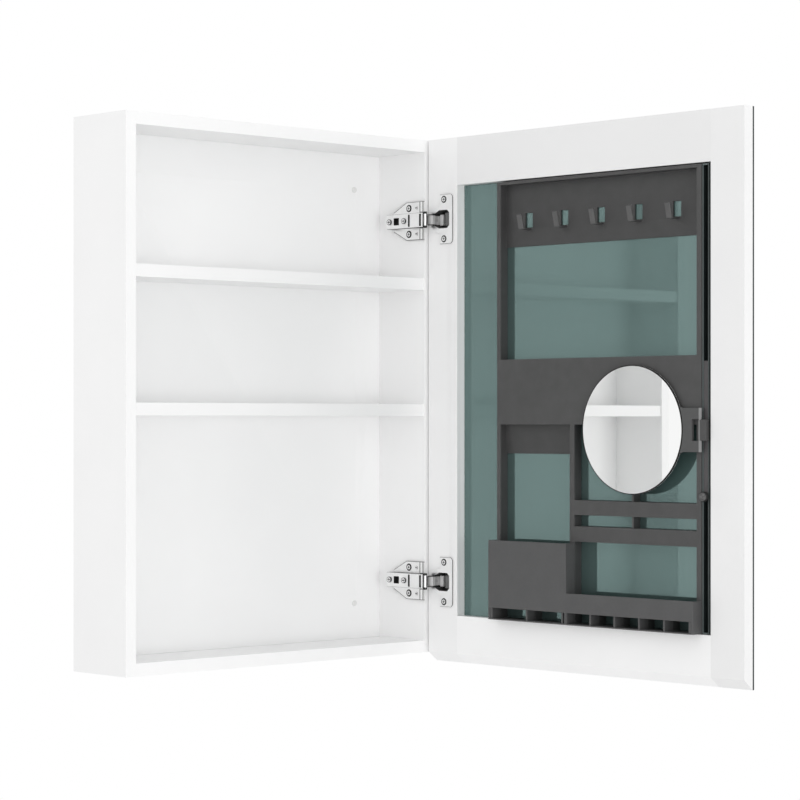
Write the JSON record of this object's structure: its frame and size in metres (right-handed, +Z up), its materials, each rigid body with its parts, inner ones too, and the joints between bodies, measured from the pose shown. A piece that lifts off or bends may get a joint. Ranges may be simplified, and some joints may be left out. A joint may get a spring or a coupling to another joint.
{
  "type": "medicine cabinet",
  "caption": "Wall-hung mirror cabinet with shelves, a mirrored door on concealed hinges, an inner organiser and a round mirror that swings and slides.",
  "frame": {"origin": "centre of the back face, in the middle of the four wall screw holes", "axes": "+X to the right, +Y into the wall, +Z up; the door opens towards -Y"},
  "size_m": [0.5064, 0.6017, 0.661],
  "materials": {
    "white_board": "white laminated board, satin",
    "white_door": "white laminated board, satin",
    "bare_wood": "bare beech dowel",
    "cap_plastic": "white moulded cap",
    "nickel_steel": "nickel-plated pressed steel",
    "dark_steel": "dark plated steel",
    "screw_steel": "zinc-plated screw",
    "mirror_glass": "silvered glass",
    "tinted_mirror": "grey-green tinted silvered glass",
    "grey_plastic": "dark grey moulded plastic, fine grain",
    "tray_plastic": "dark grey moulded plastic, fine grain",
    "black_plastic": "near-black moulded plastic",
    "clip_plastic": "grey moulded plastic",
    "small_mirror": "silvered glass"
  },
  "bodies": {
    "case": {"left_side": "white_board", "right_side": "white_board", "top_board": "white_board", "bottom_board": "white_board", "back_panel": "white_board", "upper_shelf": "white_board", "lower_shelf": "white_board", "case_dowels": "bare_wood", "wall_screw_caps": "cap_plastic", "hinge_plates": "nickel_steel", "plate_screws": "screw_steel", "hinge_arms": "nickel_steel", "arm_screws": "screw_steel", "arm_pins": "dark_steel"},
    "outer_links": {"outer_links": "dark_steel"},
    "inner_links": {"inner_links": "dark_steel"},
    "door": {"hinge_stile": "white_door", "free_stile": "white_door", "top_rail": "white_door", "bottom_rail": "white_door", "rail_dowels": "bare_wood", "front_mirror": "mirror_glass", "back_mirror": "tinted_mirror", "hinge_cups": "nickel_steel", "cup_springs": "dark_steel", "cup_screws": "screw_steel", "organiser_frame": "grey_plastic", "organiser_tray": "tray_plastic", "guide_channel": "black_plastic"},
    "slider": {"slider": "clip_plastic", "slide_clip": "clip_plastic", "hinge_rod": "screw_steel"},
    "knob": {"lock_knob": "clip_plastic"},
    "mirror_arm": {"mirror_arm": "clip_plastic", "round_mirror": "small_mirror"}
  },
  "joints": [
    {"name": "outer_link_swing", "type": "hinge", "parent": "case", "child": "outer_links", "pos_m": [0.2279, -0.1056, 0], "axis": [0, 0, 1], "range_deg": [-3.68, 21.84]},
    {"name": "door_swing", "type": "hinge", "parent": "outer_links", "child": "door", "pos_m": [0.2416, -0.10957, 0], "axis": [0, 0, 1], "range_deg": [-111.79, 18.63]},
    {"name": "inner_link_swing", "type": "hinge", "parent": "case", "child": "inner_links", "pos_m": [0.2275, -0.0995, 0], "axis": [0, 0, 1], "range_deg": [-1.55, 9.05]},
    {"name": "mirror_lift", "type": "slide", "parent": "door", "child": "slider", "axis": [0, 0, 1], "range_m": [-0.11, 0.165]},
    {"name": "mirror_swing", "type": "hinge", "parent": "slider", "child": "mirror_arm", "pos_m": [0.2359, -0.54047, -0.0417], "axis": [0, 0, 1], "range_deg": [0, 180]},
    {"name": "knob_turn", "type": "hinge", "parent": "slider", "child": "knob", "pos_m": [0.2384, -0.54517, -0.118], "axis": [1, 0, 0], "range_deg": [0, 180]}
  ],
  "couplings": [
    {"joint": "outer_link_swing", "follows": "door_swing", "ratio": -0.19493},
    {"joint": "inner_link_swing", "follows": "door_swing", "ratio": -0.080507}
  ]
}
